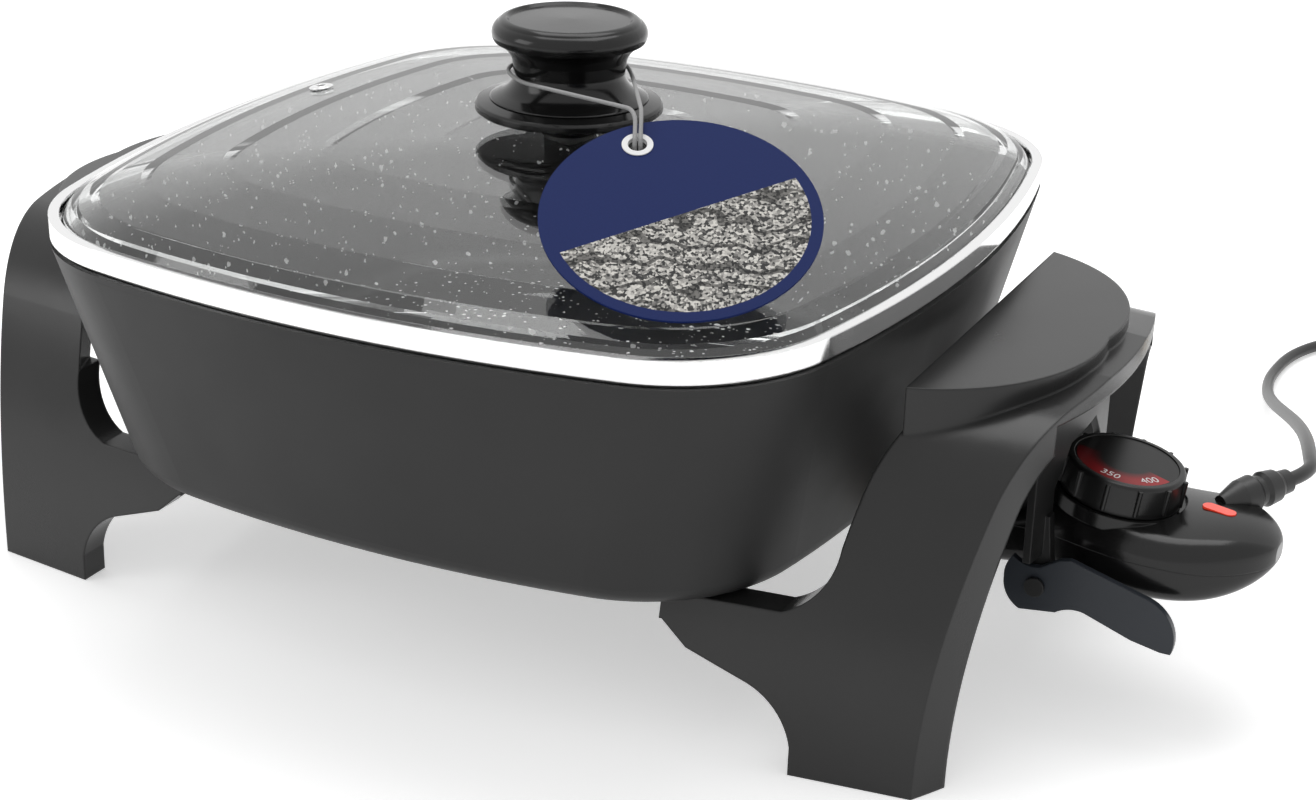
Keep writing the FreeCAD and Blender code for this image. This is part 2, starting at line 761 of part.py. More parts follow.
def make_handle(label, side):
    """One moulded piece: handle plate, two swept legs and the arms under the pan."""
    handle = body(label)
    near = side_profile(handle, arm_end - 1.0, side)
    far = side_profile(handle, handle_reach + 2.0, side)
    loft(handle, [near, far], ruled=True)
    # outer edge, one arc in plan from foot to foot
    edge = sketch(handle, "XY_Plane", -1.0)
    outer = handle_reach + 12.0
    half = foot_line + 10.0
    middle = handle_reach - plan_radius
    at_half = middle + root(plan_radius * plan_radius - half * half)
    bend = plan_radius if side > 0 else -1 * plan_radius
    points = [
        (side * at_half, -1 * half, bend),
        (side * at_half, half),
        (side * outer, half),
        (side * outer, -1 * half),
    ]
    outline(edge, points)
    feature(handle, "Pocket", edge, Length=200.0, Reversed=True)
    # the leg's inner edge, the arm and the foot, cut straight through along Y
    front = sketch(handle, "XZ_Plane")
    arm_top = pan_floor
    arm_low = pan_floor - arm_drop
    s = side
    outline(front, [
        (s * (arm_end - 4.0), -1.0),
        (s * (leg_inner - 0.5), -1.0),
        (s * (leg_inner - 0.5), 10.0, 26.0 if s > 0 else -26.0),
        (s * (leg_inner - 16.0), arm_low - 14.0),
        (s * (arm_end + 9.0), arm_low - 6.0),
        (s * arm_end, arm_low + 2.0),
        (s * (arm_end - 4.0), arm_low + 2.0),
    ])
    feature(handle, "Pocket", front, Midplane=True, Length=400.0)
    slot = sketch(handle, "XZ_Plane")
    outline(slot, [
        (s * (arm_end - 4.0), arm_top),
        (s * (leg_inner - window_round), arm_top, window_bend if s > 0 else -1 * window_bend),
        (s * (leg_inner + leg_taper), arm_top + window_rise),
        (s * (leg_inner + leg_taper), arm_top + 90.0),
        (s * (arm_end - 4.0), arm_top + 90.0),
    ])
    feature(handle, "Pocket", slot, Midplane=True, Length=400.0)
    # the handle's inner edge, beside the pan
    inside = sketch(handle, "XY_Plane", pan_floor + 22.0)
    outline(inside, [
        (s * (leg_inner - 6.0), -1 * foot_line),
        (s * (leg_inner + 0.5), -1 * (foot_line - 14.0)),
        (s * grip_inner, -1 * grip_half),
        (s * grip_inner, grip_half),
        (s * (leg_inner + 0.5), foot_line - 14.0),
        (s * (leg_inner - 6.0), foot_line),
    ])
    feature(handle, "Pocket", inside, Length=120.0, Reversed=True)
    # shallow raised pad on the handle's top, half an ellipse in plan
    pad = sketch(handle, "XY_Plane", crown_edge + pad_rise - pad_height)
    rim = side * (grip_inner + 0.4)
    tip = side * (grip_inner + pad_deep)
    shoulder_y = pad_long * 0.62
    shoulder_x = side * (grip_inner + pad_deep * 0.80)
    flank = pad_long * 0.85 if s > 0 else -0.85 * pad_long
    nose = pad_long * 0.92 if s > 0 else -0.92 * pad_long
    outline(pad, [
        (rim, -1 * pad_long, flank),
        (shoulder_x, -1 * shoulder_y, nose),
        (tip, 0.0, nose),
        (shoulder_x, shoulder_y, flank),
        (rim, pad_long),
    ])
    feature(handle, "Pad", pad, Length=pad_height)
    # the pad's underside, level with the plate's between the shoulders
    under = sketch(handle, "XZ_Plane")
    near = grip_inner - 8.0
    far = handle_reach + 2.0
    low = crown_edge + pad_rise - pad_height - 4.0
    outline(under, [
        (s * near, low),
        (s * near, crown_edge + (handle_reach - near) * crown_slope - plate),
        (s * far, crown_edge + (handle_reach - far) * crown_slope - plate),
        (s * far, low),
    ])
    feature(handle, "Pocket", under, Midplane=True, Length=2 * pad_level_half)
    # flat soles
    soles = sketch(handle, "XY_Plane", 0.0)
    outline(soles, [
        (s * (arm_end - 6.0), -1 * half), (s * outer, -1 * half),
        (s * outer, half), (s * (arm_end - 6.0), half),
    ])
    feature(handle, "Pocket", soles, Length=foot_stock + 2.0)
    # lugs under the pan, each with its screw hole
    lugs = sketch(handle, "XY_Plane", arm_low + 2.5)
    inner_y = lug_inner
    outer_y = foot_line - leg_sweep * screw_x - leg_thickness + 1.0
    for t in (-1, 1):
        outline(lugs, [
            (s * (screw_x - 8.5), t * outer_y),
            (s * (screw_x - 8.5), t * inner_y),
            (s * (screw_x + 8.5), t * inner_y),
            (s * (screw_x + 14.0), t * outer_y),
        ])
    feature(handle, "Pad", lugs, Length=arm_drop - 2.5)
    holes = sketch(handle, "XY_Plane", arm_low - 2.0)
    for t in (-1, 1):
        circle(holes, s * screw_x, t * screw_y, screw_radius + 0.2)
    feature(handle, "Pocket", holes, Length=40.0, Reversed=True)
    return handle


def make_screws():
    """Four screws up through the lugs into the pan."""
    screws = []
    under = pan_floor - arm_drop + 2.5
    for sx in (-1, 1):
        for sy in (-1, 1):
            name = f"{'left' if sx < 0 else 'right'}_{'front' if sy < 0 else 'back'}"
            head = primitive(
                f"head_{name}", "Cylinder", False, Radius=screw_head, Height=screw_head_height
            )
            place(head, sx * screw_x, sy * screw_y, under - screw_head_height)
            shank = primitive(
                f"shank_{name}", "Cylinder", False,
                Radius=screw_radius, Height=arm_drop + 0.2 + screw_head_height,
            )
            place(shank, sx * screw_x, sy * screw_y, under - screw_head_height + 0.5)
            screws.append(fuse(f"screw_{name}", [head, shank], False))
    fuse("handle_screws", screws)


def make_guard():
    """Curved plate under the right handle that the heat control plugs through."""
    guard = body("socket_guard")
    drawn = sketch(guard, "XY_Plane", guard_floor)
    r = guard_radius
    half = guard_half
    edge = guard_reach - r + root(r * r - half * half)
    outline(drawn, [
        (edge, -1 * half, r),
        (edge, half),
        (edge - guard_wall, half, -1 * r),
        (edge - guard_wall, -1 * half),
    ])
    # the plate reaches up to the handle plate's underside
    under = crown_edge + (handle_reach - guard_reach) * crown_slope - plate
    feature(guard, "Pad", drawn, Length=under - guard_floor)
    shelf = sketch(guard, "XY_Plane", under - 3.0)
    outline(shelf, [
        (guard_reach - 26.0, -34.0), (guard_reach - 4.0, -34.0),
        (guard_reach - 4.0, 34.0), (guard_reach - 26.0, 34.0),
    ])
    feature(guard, "Pad", shelf, Length=3.0)
    window = sketch(guard, "YZ_Plane", guard_reach - 30.0)
    outline(window, [
        (-1 * guard_window, guard_floor - 2.0), (guard_window, guard_floor - 2.0),
        (guard_window, guard_window_top - 12.0), (guard_window - 12.0, guard_window_top),
        (12.0 - guard_window, guard_window_top), (-1 * guard_window, guard_window_top - 12.0),
    ])
    feature(guard, "Pocket", window, Length=40.0, Reversed=True)
    # cheek that carries the lever's pivot
    cheek = sketch(guard, "XZ_Plane", lever_y - lever_thickness - 5.0)
    outline(cheek, [
        (pivot_x - 5.0, pivot_z - 5.0), (pivot_x + 5.0, pivot_z - 5.0),
        (pivot_x + 2.0, guard_floor + 14.0), (pivot_x - 2.0, guard_floor + 14.0),
    ])
    feature(guard, "Pad", cheek, Length=4.7)
    bore = sketch(guard, "XZ_Plane", lever_y)
    circle(bore, pivot_x, pivot_z, pivot_radius + 0.02)
    feature(guard, "Pocket", bore, Length=20.0)
    return guard


def make_lid_glass():
    """Domed glass with a steeper shoulder, the same outline as the rim."""
    glass = body("lid_glass")
    z0 = glass_low
    outer_x = rim_x - band_wall - fit_gap
    outer_y = rim_y - band_wall - fit_gap
    steps = (
        (0.0, 0.0), (1.0, 3.6), (3.6, 7.0), (9.0, 9.8), (24.0, 13.6), (48.0, 17.3),
        (78.0, 20.1), (112.0, 21.6), (135.0, 21.9),
    )
    for cut in (False, True):
        sections = []
        drop = glass_thickness if cut else Size(0.0, "0")
        inset = glass_thickness if cut else Size(0.0, "0")
        for narrow, up in steps:
            corner = rim_corner * (1 - narrow / 160.0) - inset
            height = z0 + up * (glass_rise / 24.5)
            if cut and narrow == 0.0:
                height = z0 - 2.0
            elif cut:
                height = height - drop
            sections.append(rounded_square(
                sketch(glass, "XY_Plane", height),
                outer_x - narrow - inset, outer_y - narrow - inset, corner,
                rim_bow * (1 - narrow / 190.0),
            ))
        loft(glass, sections, ruled=True, cut=cut)
    # holes for the knob's screw and the steam vent
    holes = sketch(glass, "XY_Plane", glass_low)
    circle(holes, 0.0, 0.0, knob_screw_radius + 0.4)
    circle(holes, vent_x, vent_y, 3.2)
    feature(glass, "Pocket", holes, Length=40.0, Reversed=True)
    return glass


def make_lid_rim():
    rim = body("lid_rim")
    for low, height, wall in (
        (lid_seat, band_height, band_wall),
        (lid_seat, band_lip_height, band_lip),
        (lid_seat + band_height - top_lip, top_lip, band_wall + top_lip_reach),
    ):
        ring = sketch(rim, "XY_Plane", low)
        rounded_square(ring, rim_x, rim_y, rim_corner, rim_bow)
        rounded_square(ring, rim_x - wall, rim_y - wall, rim_corner - wall, rim_bow)
        feature(rim, "Pad", ring, Length=height)
    # inner skirt that stands just over the pan's ledge
    skirt = sketch(rim, "XY_Plane", pan_top + fit_gap)
    for inset in (skirt_inset, skirt_inset + skirt_wall):
        rounded_square(skirt, rim_x - inset, rim_y - inset, rim_corner - inset, rim_bow)
    feature(rim, "Pad", skirt, Length=lid_gap)
    return rim


def make_knob():
    knob = body("lid_knob")
    drawn = sketch(knob, "XZ_Plane")
    top = cap_top
    low = flange_top + 1.4
    outline(drawn, [
        (neck_radius + 8.5, low),
        (neck_radius + 4.4, low + 2.2, -9.0),
        (neck_radius, low + 9.5),
        (neck_radius + 0.6, low + 14.0, -12.0),
        (cap_radius - 1.2, top - 8.2, 4.6),
        (cap_radius - 2.8, top - 1.6, 3.6),
        (cap_radius - 5.6, top - 0.2),
        (cap_radius - 6.8, top - 1.2),
        (0.0, top - 0.7),
        (0.0, flange_top + 12.0),
        (knob_screw_radius + 0.05, flange_top + 12.0),
        (knob_screw_radius + 0.05, low),
    ])
    spin(knob, drawn)
    flange = body("knob_flange")
    drawn = sketch(flange, "XZ_Plane")
    outline(drawn, [
        (knob_screw_radius + 0.1, flange_top - 3.0),
        (flange_radius - 4.0, flange_top - 3.0),
        (flange_radius - 1.0, flange_top - 3.4),
        (flange_radius, flange_top - 2.6),
        (flange_radius, flange_top - 0.8),
        (flange_radius - 0.8, flange_top),
        (neck_radius + 8.5, flange_top + 1.1),
        (knob_screw_radius + 0.1, flange_top + 1.1),
    ])
    spin(flange, drawn)




def make_control():
    """Rounded housing of the heat control, in two shells, and what it carries."""
    sections = (
        (146.0, 17.5, 8.6, 50.6), (166.0, 18.0, 9.6, 51.6), (190.0, 19.0, 12.6, 56.4),
        (203.0, 22.0, 14.0, 58.0), (218.0, 26.0, 13.9, 57.9), (234.0, 27.0, 13.5, 57.9),
        (248.0, 24.5, 12.7, 59.5), (259.0, 17.5, 9.6, 61.2), (264.6, 10.5, 6.0, 62.2),
        (267.0, 4.8, 3.0, 62.6),
    )
    forms = []
    for name, wall in (("control_form", Size(0.0, "0")), ("control_hollow", control_wall)):
        owner = helper_body(name)
        drawn = []
        for i, (x, half_y, half_z, mid_z) in enumerate(sections):
            if wall.value and i == 0:
                x = x + wall
            if wall.value and half_z - wall.value < 2.5:
                continue
            low = 0.62 * half_z
            drawn.append(sketch(owner, "YZ_Plane", x))
            drawn[-1].setExpression("AttachmentOffset.Base.y", words(mid_z))
            rounded_square(
                drawn[-1], half_y - wall, half_z - wall, low - 0.4 * wall, 4.0 * half_y
            )
        loft(owner, drawn)
        forms.append(owner)
    shell = boolean("control_shell", "Cut", forms[0], forms[1], False)
    halves = []
    for name, low in (("upper", control_z), ("lower", control_z - 60.0)):
        block = primitive(
            f"{name}_space", "Box", False, Length=140.0, Width=80.0, Height=60.0
        )
        place(block, 135.0, -40.0, low)
        halves.append(boolean(f"control_{name}", "Common", shell, block, False))
    # round plinth under the dial
    plinth = primitive("plinth", "Cylinder", False, Radius=dial_radius + 1.9, Height=5.0)
    tilt = math.radians(number(dial_tilt))
    down = 5.3
    place(plinth, control_x - down * math.sin(tilt), 0.0, dial_base - down * math.cos(tilt),
          V(0, 1, 0), number(dial_tilt))
    top = fuse("control_upper_with_plinth", [halves[0], plinth], False)
    bore = primitive("shaft_bore", "Cylinder", False, Radius=shaft_radius + 0.1, Height=40.0)
    down = 22.0
    place(bore, control_x - down * math.sin(tilt), 0.0, dial_base - down * math.cos(tilt),
          V(0, 1, 0), number(dial_tilt))
    window = slot("lens_window", lens_top - 10.0, lens_long + 0.2, lens_wide + 0.2, 14.0, False)
    neck = relief_form("relief_room", 0.15, False)
    room = primitive("dial_room", "Cylinder", False, Radius=dial_radius + 1.9, Height=20.0)
    down = 0.3
    place(room, control_x - down * math.sin(tilt), 0.0, dial_base - down * math.cos(tilt),
          V(0, 1, 0), number(dial_tilt))
    cuts = fuse("control_top_cuts", [bore, window, neck, room], False)
    boolean("control_top", "Cut", top, cuts)
    holes = []
    for y, radius in ((-1 * terminal_gap, terminal_radius + 0.4),
                      (terminal_gap, terminal_radius + 0.4), (Size(0.0, "0"), probe_radius + 0.05)):
        hole = primitive(f"nose_hole_{len(holes)}", "Cylinder", False, Radius=radius, Height=8.0)
        holes.append(place(hole, 144.0, y, pan_floor - plug_in_drop, V(0, 1, 0), 90.0))
    holes.append(relief_form("relief_room_low", 0.15, False))
    boolean("control_base", "Cut", halves[1], fuse("nose_holes", holes, False))

    slot("indicator_lens", lens_top - 5.0, lens_long, lens_wide, 5.0)
    lamp = primitive("indicator_lamp", "Cylinder", Radius=2.2, Height=9.0)
    place(lamp, lens_x - 4.5, lens_y, lens_top - 5.0 - 2.5, V(0, 1, 0), 90.0)


def slot(label, z, length, width, height, keep=True):
    """A bar with round ends standing where the indicator is, turned like it."""
    turn = math.radians(number(lens_turn))
    half = (length - width) / 2
    bar = primitive(
        f"{label}_bar", "Box", False, Length=length - width, Width=width, Height=height
    )
    corner_x = lens_x - half * math.cos(turn) + width * (math.sin(turn) / 2)
    corner_y = lens_y - half * math.sin(turn) - width * (math.cos(turn) / 2)
    pieces = [place(bar, corner_x, corner_y, z, V(0, 0, 1), number(lens_turn))]
    for side in (-1, 1):
        end = primitive(
            f"{label}_end_{len(pieces)}", "Cylinder", False, Radius=width / 2, Height=height
        )
        along = side * half
        pieces.append(
            place(end, lens_x + along * math.cos(turn), lens_y + along * math.sin(turn), z)
        )
    return fuse(label, pieces, keep)


def relief_place(thing):
    """Turn a piece's own Z axis along the lead's way out of the housing."""
    way = V(number(relief_way[0]), number(relief_way[1]), number(relief_way[2]))
    turn = FreeCAD.Rotation(V(0, 0, 1), way)
    thing.Placement = FreeCAD.Placement(V(0, 0, 0), turn)
    for axis, value in zip("xyz", (centre_x + relief_x, relief_y, relief_z)):
        thing.setExpression(f"Placement.Base.{axis}", value.text)
    return thing


def relief_form(label, grow, keep=True):
    """Stubby moulded strain relief with two ribs."""
    form = body(label) if keep else helper_body(label)
    drawn = sketch(form, "XZ_Plane")
    g = Size(grow, repr(grow))
    outline(drawn, [
        (0.0, 0.0 - g), (3.0 + g, 0.0 - g), (6.0 + g, relief_length * 0.28),
        (6.5 + g, relief_length * 0.46), (5.2 + g, relief_length * 0.52),
        (5.2 + g, relief_length * 0.58), (6.2 + g, relief_length * 0.63),
        (5.6 + g, relief_length * 0.8), (4.4 + g, relief_length * 0.86),
        (4.1 + g, relief_length), (0.0, relief_length),
    ])
    spin(form, drawn)
    return relief_place(form)


def make_thermostat():
    """Probe rod, switch frame, contact strip and sockets inside the housing."""
    level = pan_floor - plug_in_drop
    rod = primitive("thermostat_probe", "Cylinder", Radius=probe_radius, Height=probe_end - probe_tip)
    place(rod, probe_tip, 0.0, level, V(0, 1, 0), 90.0)
    sockets = []
    for side in (-1, 1):
        name = "front" if side < 0 else "back"
        outer = primitive(f"socket_{name}", "Cylinder", False, Radius=3.6, Height=18.0)
        inner = primitive(
            f"socket_bore_{name}", "Cylinder", False, Radius=terminal_radius + 0.3, Height=30.0
        )
        place(outer, 149.0, side * terminal_gap, level, V(0, 1, 0), 90.0)
        place(inner, 148.0, side * terminal_gap, level, V(0, 1, 0), 90.0)
        sockets.append(boolean(f"socket_tube_{name}", "Cut", outer, inner, False))
    fuse("terminal_sockets", sockets)
    plate_box = primitive("frame_plate", "Box", False, Length=54.0, Width=15.0, Height=1.4)
    place(plate_box, probe_end, -7.5, level - 1.2)
    tab = primitive("frame_tab", "Box", False, Length=1.6, Width=12.0, Height=9.0)
    place(tab, probe_end, -6.0, level - 1.2)
    post = primitive("frame_post", "Box", False, Length=5.0, Width=8.0, Height=8.0)
    place(post, probe_end + 8.0, -4.0, level - 1.2)
    frame = fuse("thermostat_frame", [plate_box, tab, post])
    strip = primitive("contact_strip", "Box", Length=36.0, Width=6.0, Height=0.6)
    place(strip, probe_end + 8.0, -3.0, level + 6.8)
    return frame


def make_dial():
    dial = body("dial_knob")
    drawn = sketch(dial, "XZ_Plane")
    r = dial_radius
    top = dial_height
    outline(drawn, [
        (shaft_radius + 0.05, 0.0), (r, 0.0), (r, 1.6), (r - 0.6, top - 1.4, 1.4),
        (r - 2.0, top), (dial_face + 0.15, top), (dial_face + 0.15, top - 0.8),
        (0.0, top - 0.8), (0.0, 7.0), (shaft_radius + 0.05, 7.0),
    ])
    spin(dial, drawn)
    rib = sketch(dial, "XY_Plane", 0.8)
    circle(rib, r - 0.1, 0.0, 0.8)
    rib_pad = feature(dial, "Pad", rib, Length=top - 1.6)
    doc.recompute()
    ring = dial.newObject("PartDesign::PolarPattern", "grip_ribs")
    ring.Originals = [rib_pad]
    ring.Axis = (rib, ["N_Axis"])
    ring.Angle = 360.0
    ring.Occurrences = 12
    dial.Tip = ring
    on_dial(dial, 0.0)
    face = primitive("dial_plate", "Cylinder", Radius=dial_face, Height=0.5)
    on_dial(face, top - 0.8)
    shaft = primitive("dial_shaft", "Cylinder", Radius=shaft_radius, Height=23.0)
    on_dial(shaft, -16.2)


def on_dial(thing, along):
    """Stand a piece on the dial's tilted axis, a distance above its base."""
    tilt = math.radians(number(dial_tilt))
    step = Size(number(along), words(along))
    return place(
        thing, control_x + step * math.sin(tilt), 0.0, dial_base + step * math.cos(tilt),
        V(0, 1, 0), number(dial_tilt),
    )


def make_lever():
    """Blade beside the control that is pressed down to free it."""
    lever = body("release_lever")
    drawn = sketch(lever, "XZ_Plane", lever_y)
    x = pivot_x
    z = pivot_z
    outline(drawn, [
        (x - 8.5, z + 9.2, 11.0), (x + 1.0, z + 7.0), (x + 7.4, z + 11.0), (x + 11.0, z + 11.8),
        (x + 38.5, z + 4.0, -14.0), (x + 47.2, z - 13.6), (x + 43.6, z - 13.6),
        (x + 33.5, z - 11.6), (x + 17.0, z - 5.8, 12.0), (x + 7.5, z - 8.0),
        (x - 5.0, z - 9.6, -11.0), (x - 11.0, z + 1.0, -11.0),
    ])
    feature(lever, "Pad", drawn, Length=lever_thickness, Reversed=True)
    hole = sketch(lever, "XZ_Plane", lever_y + 1.0)
    circle(hole, x, z, pivot_radius + 0.08)
    feature(lever, "Pocket", hole, Length=20.0)
    stem = primitive("lever_pin", "Cylinder", False, Radius=pivot_radius, Height=9.0)
    place(stem, x, -1 * lever_y - 0.6, z, V(1, 0, 0), -90.0)
    head = primitive("lever_pin_head", "Cylinder", False, Radius=3.4, Height=1.2)
    place(head, x, -1 * lever_y - 1.6, z, V(1, 0, 0), -90.0)
    fuse("lever_pivot_pin", [stem, head])


def make_knob_fixing():
    """Spacer, washer and screw that hold the knob to the glass."""
    top = glass_top
    low = top - glass_thickness
    spacer = body("knob_spacer")
    drawn = sketch(spacer, "XY_Plane", top)
    circle(drawn, 0.0, 0.0, 9.0)
    circle(drawn, 0.0, 0.0, knob_screw_radius + 0.1)
    feature(spacer, "Pad", drawn, Length=flange_top - 3.0 - top)
    washer = body("knob_washer")
    drawn = sketch(washer, "XY_Plane", low - 1.4)
    circle(drawn, 0.0, 0.0, 9.0)
    circle(drawn, 0.0, 0.0, knob_screw_radius + 0.1)
    feature(washer, "Pad", drawn, Length=1.4)
    screw = body("knob_screw")
    drawn = sketch(screw, "XZ_Plane")
    outline(drawn, [
        (0.0, low - 4.2), (3.2, low - 4.2, 2.6), (4.9, low - 2.4), (4.9, low - 1.4),
        (knob_screw_radius, low - 1.4), (knob_screw_radius, flange_top + 11.0),
        (0.0, flange_top + 11.0),
    ])
    spin(screw, drawn)


def make_vent():
    eyelet = body("vent_eyelet")
    drawn = sketch(eyelet, "XZ_Plane")
    outline(drawn, [
        (1.8, -5.6), (4.4, -5.6), (4.4, -4.9), (2.6, -4.9), (2.6, 0.25), (4.6, 0.25),
        (4.6, 0.8), (3.6, 1.3), (1.8, 1.3),
    ])
    spin(eyelet, drawn)
    rise = 15.1 * (glass_rise / 24.5)
    place(eyelet, vent_x, vent_y, glass_low + rise, V(0, 1, 0), -8.8)


def make_tag():
    """Round card on a string about the knob's neck, with nothing printed on it."""
    across = V(0.9, 0.44, 0)
    lean = FreeCAD.Rotation(across, number(tag_tilt))
    up_slope = lean.multVec(V(-0.44, 0.9, 0))
    normal = lean.multVec(V(0, 0, 1))
    centre = V(number(tag_x), number(tag_y), number(tag_z))
    thick = number(tag_card)
    hole = centre + up_slope * number(tag_hole_up) - across * number(tag_hole_aside)
    here = FreeCAD.Placement(centre, lean)
    local = here.inverse().multVec(hole)
    inner = 3.1
    wall = 0.3

    def tube(outer, bore, low, high):
        at = V(local.x, local.y, low)
        ring = Part.makeCylinder(outer, high - low, at)
        return ring.cut(Part.makeCylinder(bore, high - low, at))

    card = Part.makeCylinder(number(tag_radius), thick)
    card = card.cut(Part.makeCylinder(inner + wall + 0.05, 6.0, V(local.x, local.y, -2.0)))
    card.Placement = here
    solid("hang_tag", card)
    ring = tube(inner + wall, inner, -0.4, thick + 0.4)
    ring = ring.fuse(tube(inner + 1.9, inner, -0.4, -0.05))
    ring = ring.fuse(tube(inner + 1.9, inner, thick + 0.05, thick + 0.4))
    ring.Placement = here
    solid("tag_eyelet", ring)
    # string: up through the eyelet, over the card's edge and round the knob's neck
    radius = number(string_radius)
    over = normal * (thick + 1.4)
    edge = up_slope * (number(tag_radius) - number(tag_hole_up) + 1.5)
    apart = across * 0.9
    strand = [hole - normal * 1.4, hole + over, hole + edge + over + normal]
    facing = math.atan2(hole.y, hole.x)
    step = math.radians(48.0)
    rho = (number(neck_radius) + radius + 0.9) / math.cos(step / 2)
    neck = []
    for k in range(6):
        angle = facing - math.radians(120.0) - (k - 1.25) * step
        neck.append(V(rho * math.cos(angle), rho * math.sin(angle), number(string_z)))
    points = [q - apart for q in strand] + neck + [q + apart for q in reversed(strand)]
    wire = lead_path(points, "string")
    solid("tag_string", tube_along(wire, radius, points[0], (points[1] - points[0]).normalize()))


lead_first = 13.0
route = [
    V(262.0, 61, 72.6), V(253.5, 97, 64.4),
    V(241, 143, 50), V(228, 186, 35.5), V(215, 230, 20.5), V(204, 270, 8.5),
    V(197.5, 306, 2.7), V(200.5, 341, 2.7), V(217, 368, 2.9), V(244, 379.5, 3.3),
    V(272, 375.8, 3.7),
]


def make_lead():
    """The lead's free stretch, its put-away coil, the plug and the tie."""
    radius = number(lead_radius)
    way = V(*[number(v) for v in relief_way]).normalize()
    exit_point = V(number(relief_x), number(relief_y), number(relief_z))
    exit_point = exit_point + way * number(relief_length)
    middle = V(number(coil_x), number(coil_y), 0)
    outer = number(coil_outer)
    low = number(coil_low)
    start = V(middle.x, middle.y + outer, low)
    points = [exit_point, exit_point + way * lead_first] + route + [start - V(2 * radius, 0, 0)]
    wire = lead_path(points, "lead")
    solid("power_cord", tube_along(wire, radius, exit_point, (points[1] - exit_point).normalize()))

    turns = number(coil_turns)
    pitch = number(coil_pitch)
    total = turns * 2 * math.pi
    climb = math.pi

    def at(s):
        """The coil's centre line, s radians along its turns."""
        half = total / 2
        inward = (half - climb / 2) / (2 * math.pi) * pitch
        if s < half - climb / 2:
            share = s / (half - climb / 2)
            r = outer - inward * share
            z = low
        elif s > half + climb / 2:
            share = (total - s) / (half - climb / 2)
            r = outer - inward * share
            z = low + pitch
        else:
            share = (s - half + climb / 2) / climb
            r = outer - inward
            z = low + pitch * (share - math.sin(2 * math.pi * share) / (2 * math.pi))
        angle = math.pi / 2 - s
        return V(middle.x + r * math.cos(angle), middle.y + r * math.sin(angle), z)

    def heading(s):
        step = 1e-4
        return (at(min(s + step, total)) - at(max(s - step, 0.0))).normalize()

    count = int(round(turns * 8))
    edges = [Part.LineSegment(start - V(2 * radius, 0, 0), start).toShape()]
    marks = [total * i / count for i in range(count + 1)]
    ways = [heading(s) for s in marks]
    ways[0] = V(1, 0, 0)
    final = at(total)
    for i in range(count):
        edges += biarc(at(marks[i]), ways[i], at(marks[i + 1]), ways[i + 1])
    tail = final + ways[-1] * 7 * radius
    edges.append(Part.LineSegment(final, tail).toShape())
    coil_wire = Part.Wire(edges)
    solid("cord_coil", tube_along(coil_wire, radius, start - V(2 * radius, 0, 0), V(1, 0, 0)))
    samples = [at(total * i / 720) for i in range(721)]
    least = min(
        (a - b).Length for i, a in enumerate(samples) for b in samples[i + 180:]
    )
    print("coil's least gap to itself", round(least - 2 * radius, 2),
          "lead and coil length", round(wire.Length + coil_wire.Length, 1))
    make_plug(tail, ways[-1], final.z)


def make_plug(at, way, z):
    """Two-blade plug lying at the end of the coil."""
    turn = FreeCAD.Rotation(V(1, 0, 0), way)
    bodyform = Part.makeBox(24.0, 23.0, 13.6, V(0, -11.5, -6.8))
    bodyform = bodyform.makeFillet(2.6, [
        e for e in bodyform.Edges if abs(e.tangentAt(e.FirstParameter).x) > 0.9
    ])
    neck = Part.makeCone(4.0, 6.2, 10.0, V(0, 0, 0), V(1, 0, 0))
    bodyform.translate(V(9.5, 0, 0))
    form = neck.fuse(bodyform)
    form.Placement = FreeCAD.Placement(at, turn)
    solid("plug_body", form)
    blades = []
    for side in (-1, 1):
        blade = Part.makeBox(17.0, 1.5, 6.3, V(33.5, side * 6.35 - 0.75, -3.15))
        blades.append(blade)
    pair = Part.makeCompound(blades)
    pair.Placement = FreeCAD.Placement(at, turn)
    solid("plug_blades", pair)
    # flat tie round the strands of one side of the coil
    outer = number(coil_outer) - 0.25 * number(coil_pitch) + number(lead_radius) + 0.4
    inner = number(coil_outer) - number(coil_pitch) - number(lead_radius) - 0.4
    low = number(coil_low) - number(lead_radius) - 0.3
    high = number(coil_low) + number(coil_pitch) + number(lead_radius) + 0.3
    thick = 0.8
    ring = Part.makeBox(outer - inner + 2 * thick, 7.0, high - low + 2 * thick,
                        V(inner - thick, -3.5, low - thick))
    ring = ring.cut(Part.makeBox(outer - inner, 9.0, high - low, V(inner, -4.5, low)))
    ring.translate(V(number(coil_x), number(coil_y), 0))
    solid("cord_tie", ring)


doc.recompute()
casting = make_pan()
make_handle("right_handle", 1)
make_handle("left_handle", -1)
boolean("pan", "Cut", casting, make_heater())
make_terminals()
make_screws()
make_guard()
make_lid_glass()
make_lid_rim()
make_knob()
make_knob_fixing()
make_vent()
make_tag()
make_control()
relief_form("strain_relief", 0.0)
make_thermostat()
make_dial()
make_lever()
make_lead()
doc.recompute()

wrong = [o.Name for o in doc.Objects if "Invalid" in o.State or "Error" in o.State]
wrong += [o.Label for o in made if o.Shape.isNull() or not o.Shape.isValid()]
if wrong:
    raise RuntimeError("not built: " + ", ".join(wrong))

os.makedirs("parts", exist_ok=True)
for thing in made:
    thing.Shape.exportStep(f"parts/{thing.Label}.step")
    box = thing.Shape.BoundBox
    print(
        thing.Label, len(thing.Shape.Solids), round(thing.Shape.Volume / 1000, 2),
        [round(v, 1) for v in (box.XMin, box.YMin, box.ZMin, box.XMax, box.YMax, box.ZMax)],
    )
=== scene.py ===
import math

import bpy
from mathutils import Matrix, Vector


